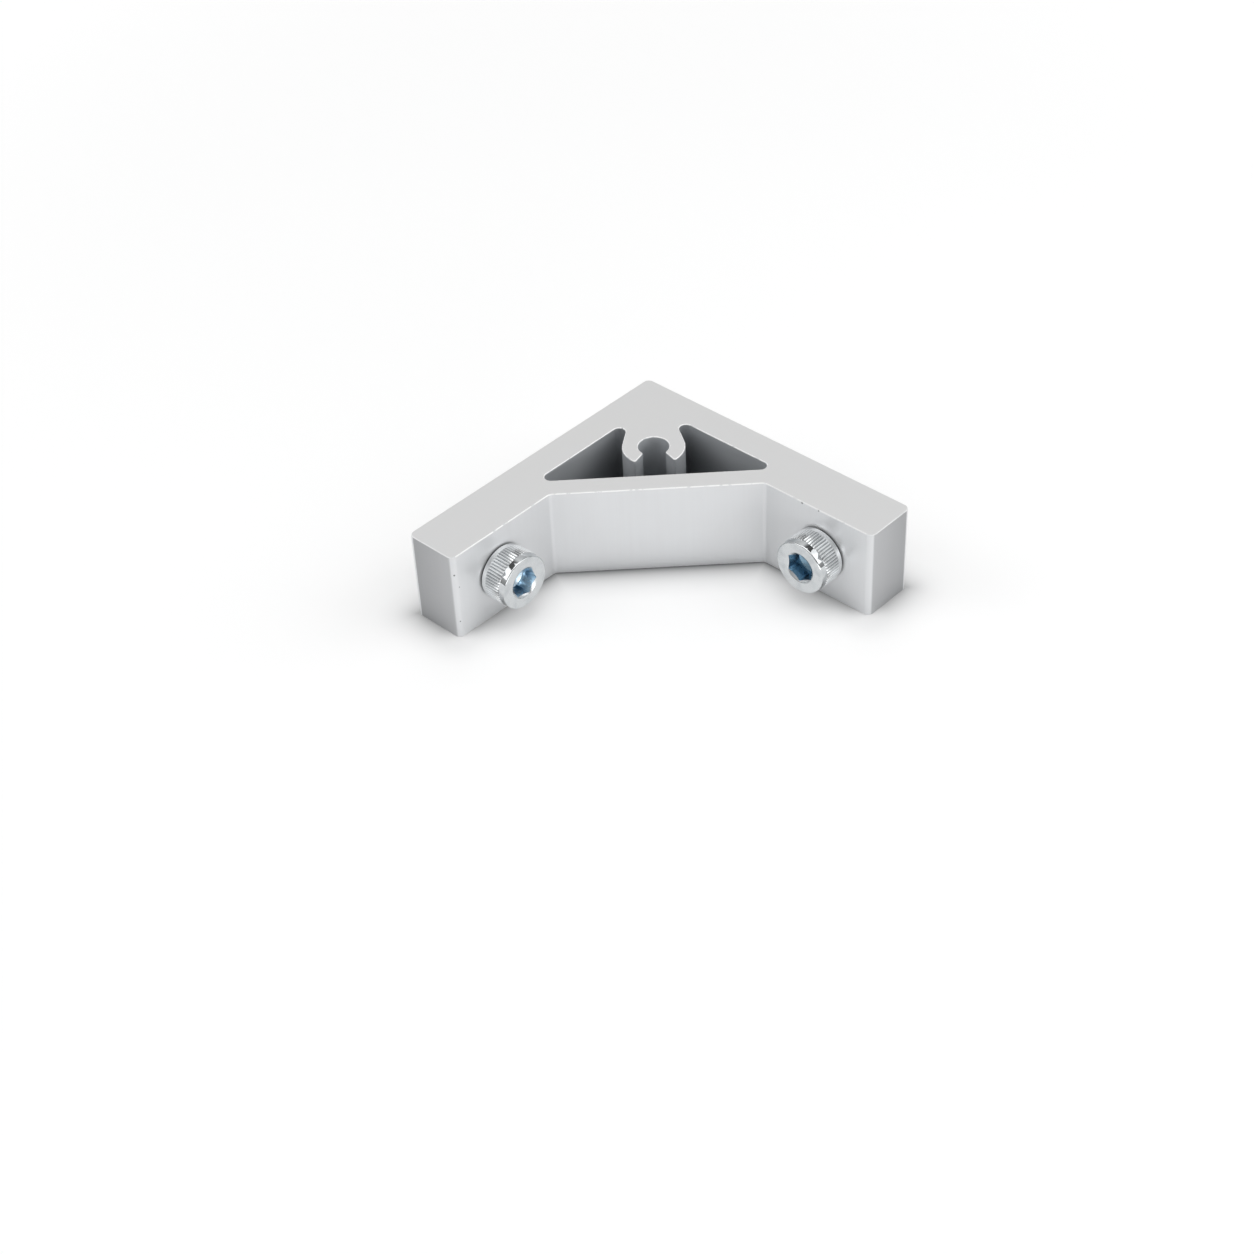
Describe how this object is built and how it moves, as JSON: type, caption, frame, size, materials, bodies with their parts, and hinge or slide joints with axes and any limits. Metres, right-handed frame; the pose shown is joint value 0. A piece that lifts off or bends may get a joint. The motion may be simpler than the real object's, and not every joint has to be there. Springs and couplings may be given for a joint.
{
  "type": "corner bracket",
  "caption": "Extruded right-angle corner bracket with a sloping web, a hollow with a C-shaped screw port, and socket cap screws through its legs.",
  "frame": {"origin": "the outer corner where the two legs' outer faces meet, as if sharp, on the lower sawn face", "axes": "+X along the left leg away from the corner, +Y along the right leg away from the corner, +Z along the extrusion, up"},
  "size_m": [0.0552, 0.0552, 0.0145],
  "materials": {
    "bracket": "extruded and sawn, clear anodised",
    "screw": "bright zinc plated steel"
  },
  "bodies": {
    "root": {"corner_bracket": "bracket", "left_screw": "screw", "right_screw": "screw"}
  },
  "joints": []
}
